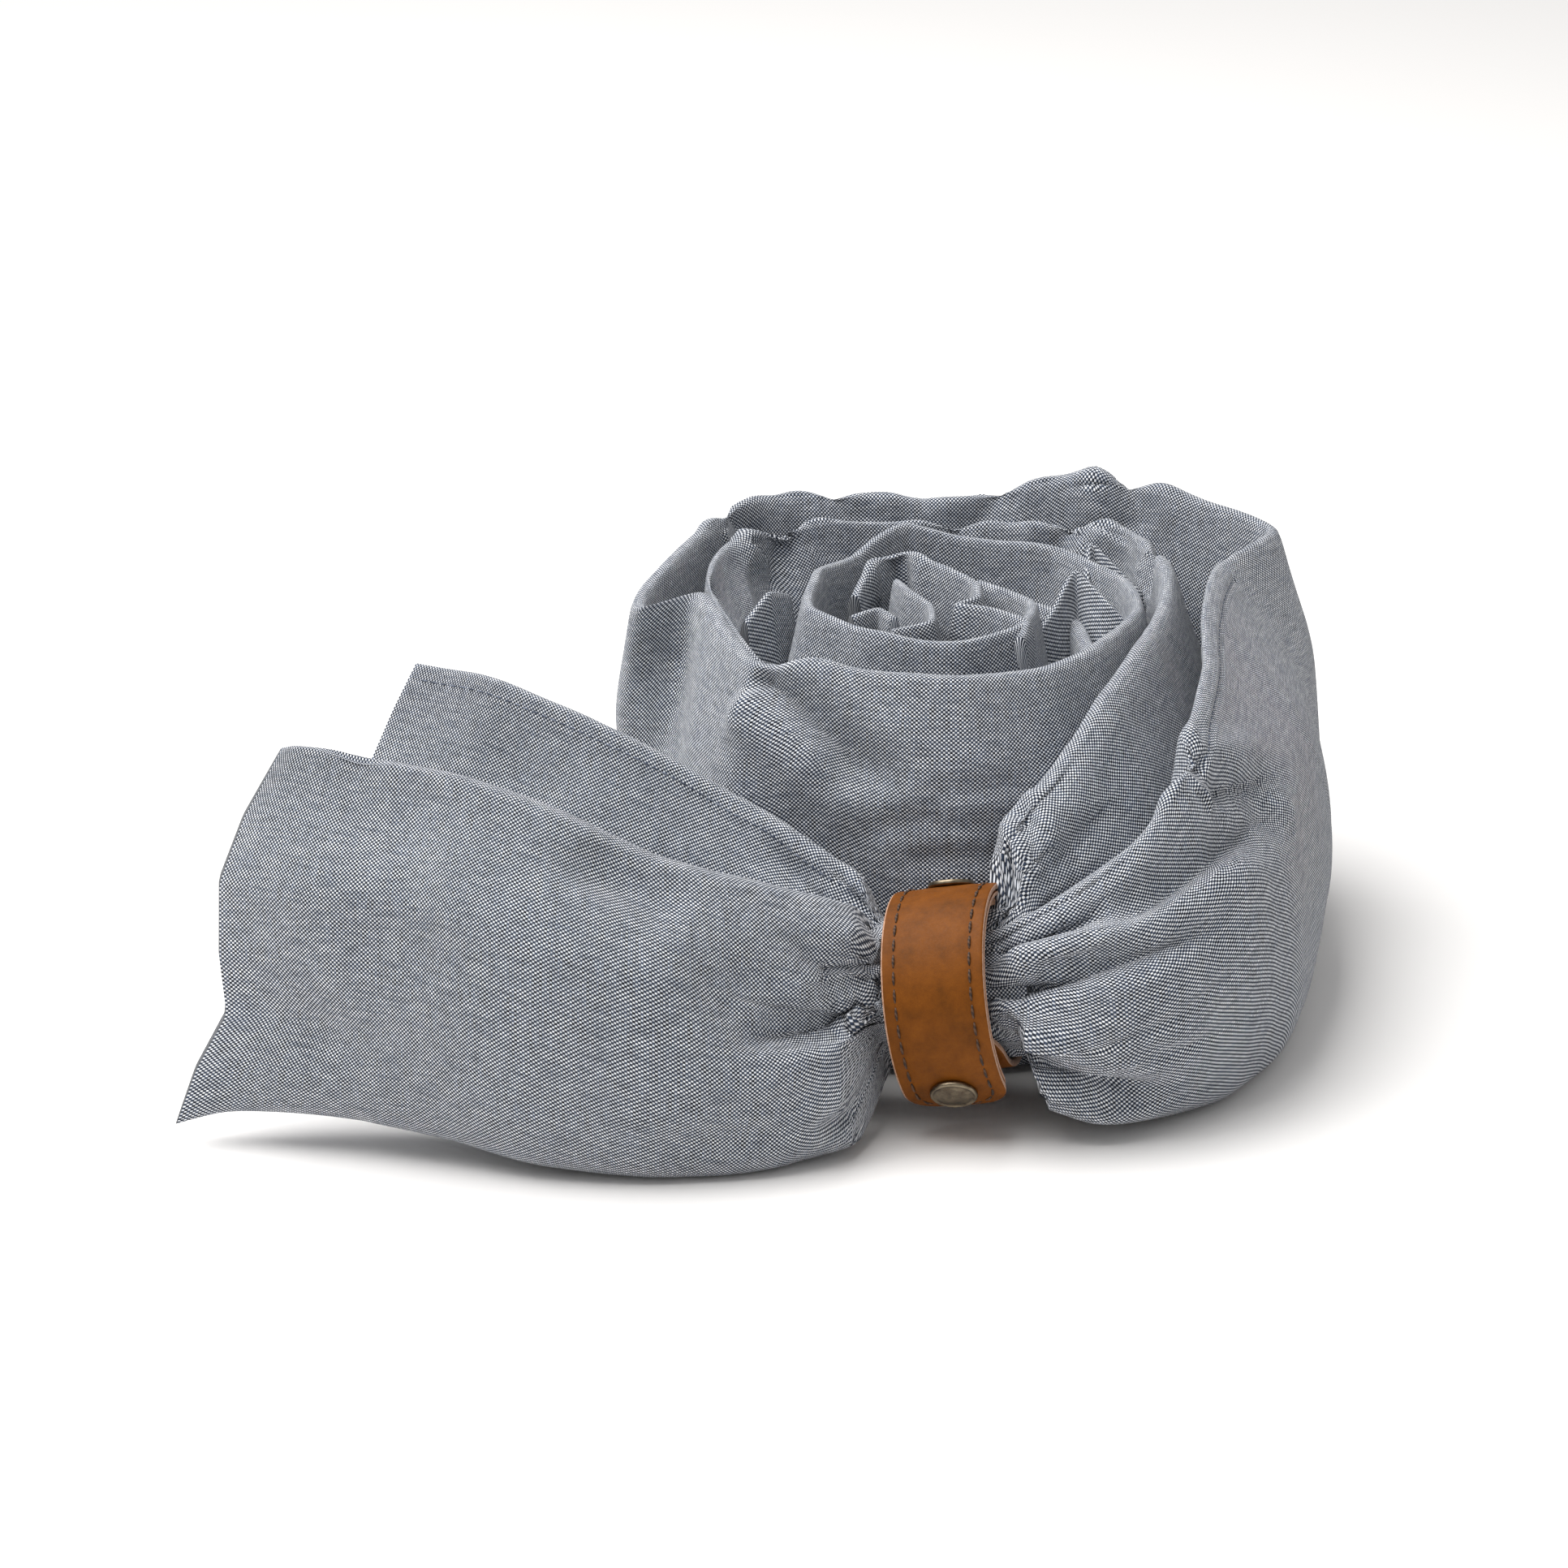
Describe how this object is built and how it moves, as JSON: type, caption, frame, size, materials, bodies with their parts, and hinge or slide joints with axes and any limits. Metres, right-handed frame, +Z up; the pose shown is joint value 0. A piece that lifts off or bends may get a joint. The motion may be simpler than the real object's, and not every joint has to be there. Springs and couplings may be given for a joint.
{
  "type": "baby wrap sling",
  "caption": "Rolled cloth baby wrap: a spiral roll on end, its gathered ends led through a sewn leather ring with a snap flap and spread out as two soft lobes.",
  "frame": {"origin": "under the middle of the whole part's box, on the surface it lies on", "axes": "+Z is up along the roll's axis; +X is along the loose ends and the ring, from the ends' free side on the left to the roll's bulging side on the right; -Y is the side the strap's snap faces"},
  "size_m": [0.2842, 0.2532, 0.104],
  "materials": {
    "chambray_cloth": "plain woven cotton, blue-grey warp and pale weft, matt",
    "hem_sewing": "dark blue-grey polyester thread",
    "tan_leather": "smooth waxed tan face, slight sheen",
    "raw_leather": "raw pale flesh side and cut edges",
    "sewing_thread": "dark brown waxed thread",
    "antique_brass": "antique, brushed and darkened"
  },
  "bodies": {
    "wrap": {"roll_outer_turn": "chambray_cloth", "roll_middle_turn": "chambray_cloth", "roll_inner_turn": "chambray_cloth", "roll_core": "chambray_cloth", "run_in_outer": "chambray_cloth", "run_in_inner": "chambray_cloth", "wrap_neck": "chambray_cloth", "wrap_end_front": "chambray_cloth", "wrap_end_back": "chambray_cloth", "end_hem_thread": "hem_sewing", "run_in_hem_thread": "hem_sewing"},
    "band": {"strap_outer_leather": "tan_leather", "strap_lining": "raw_leather", "rear_strap": "raw_leather", "strap_thread": "sewing_thread", "snap_stud": "antique_brass", "snap_eyelet": "antique_brass", "rivet_cap": "antique_brass", "rivet_back": "antique_brass"},
    "flap": {"flap_outer_leather": "tan_leather", "flap_lining": "raw_leather", "flap_thread": "sewing_thread", "snap_cap": "antique_brass", "snap_socket": "antique_brass"}
  },
  "joints": [
    {"name": "band_slide", "type": "slide", "parent": "wrap", "child": "band", "axis": [0.9633, -0.2047, 0.1736], "range_m": [-0.003, 0.003]},
    {"name": "flap_open", "type": "hinge", "parent": "band", "child": "flap", "pos_m": [0.03952, -0.09637, 0.02737], "axis": [-0.9633, 0.2047, -0.1736], "range_deg": [0, 95]}
  ]
}
